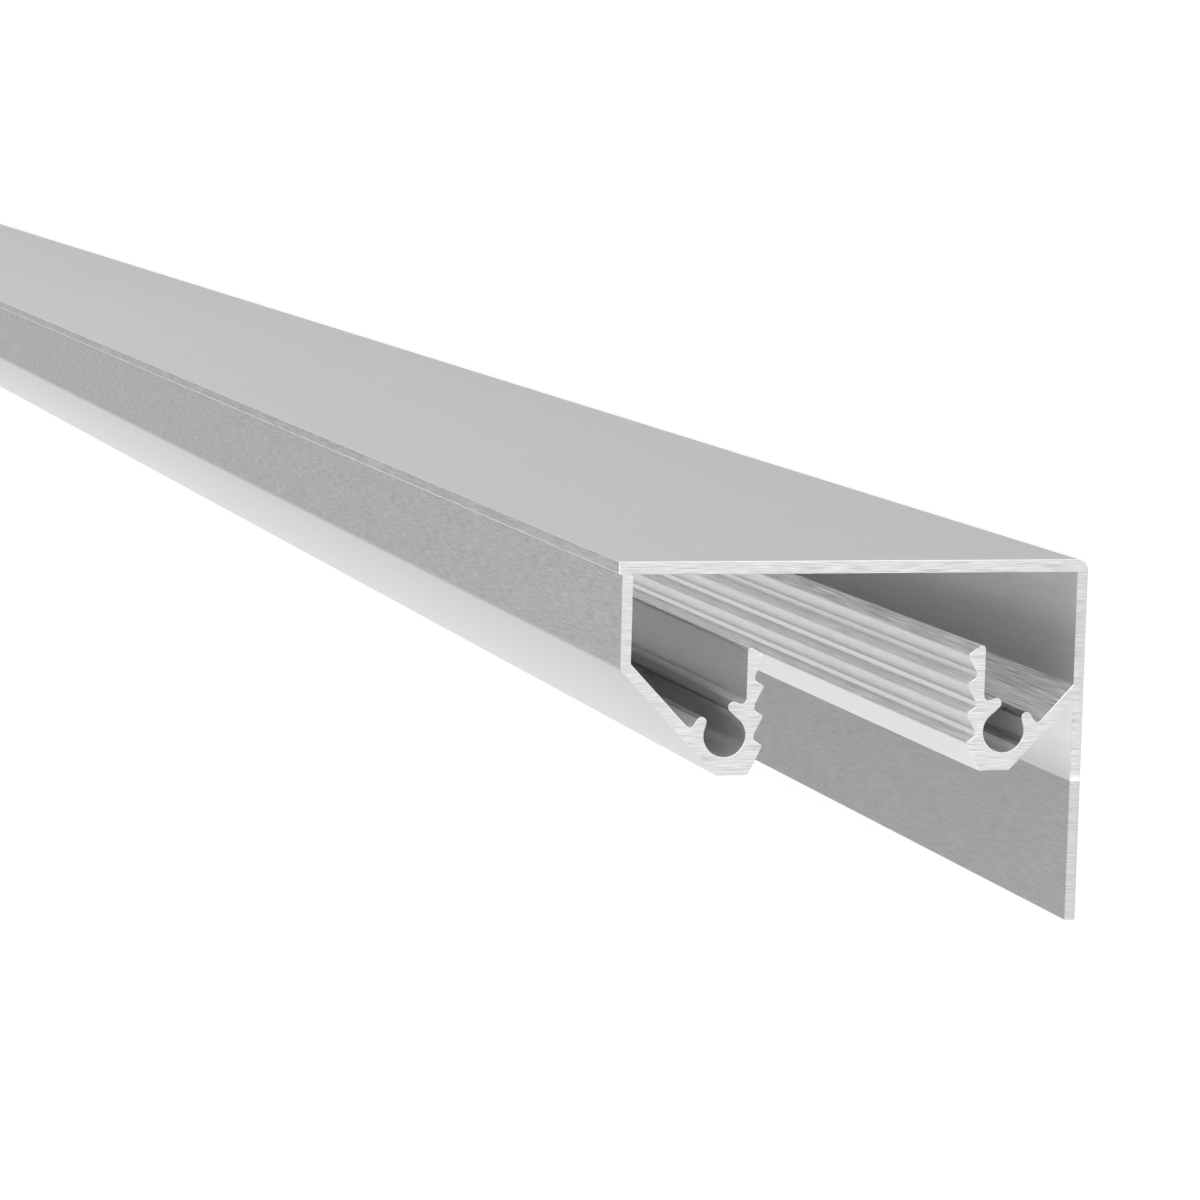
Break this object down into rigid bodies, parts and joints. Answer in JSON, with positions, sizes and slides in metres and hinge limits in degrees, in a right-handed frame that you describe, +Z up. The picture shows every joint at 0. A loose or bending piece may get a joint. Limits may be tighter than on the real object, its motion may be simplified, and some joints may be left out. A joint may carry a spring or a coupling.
{
  "type": "aluminium cover strip",
  "caption": "Extruded aluminium cover strip with a flat cover plate, a toothed slot between open screw ports and a long side flange.",
  "frame": {"origin": "middle of the strip's bounding box, on the floor that its right wall lies on", "axes": "+Y along the strip's length, +X out of the cover plate's face, +Z up from the long side wall and flange to the short side wall"},
  "size_m": [0.0376, 1, 0.05],
  "materials": {
    "aluminium": "mill finish, lightly brushed along its length"
  },
  "bodies": {
    "root": {"cover_strip": "aluminium"}
  },
  "joints": []
}
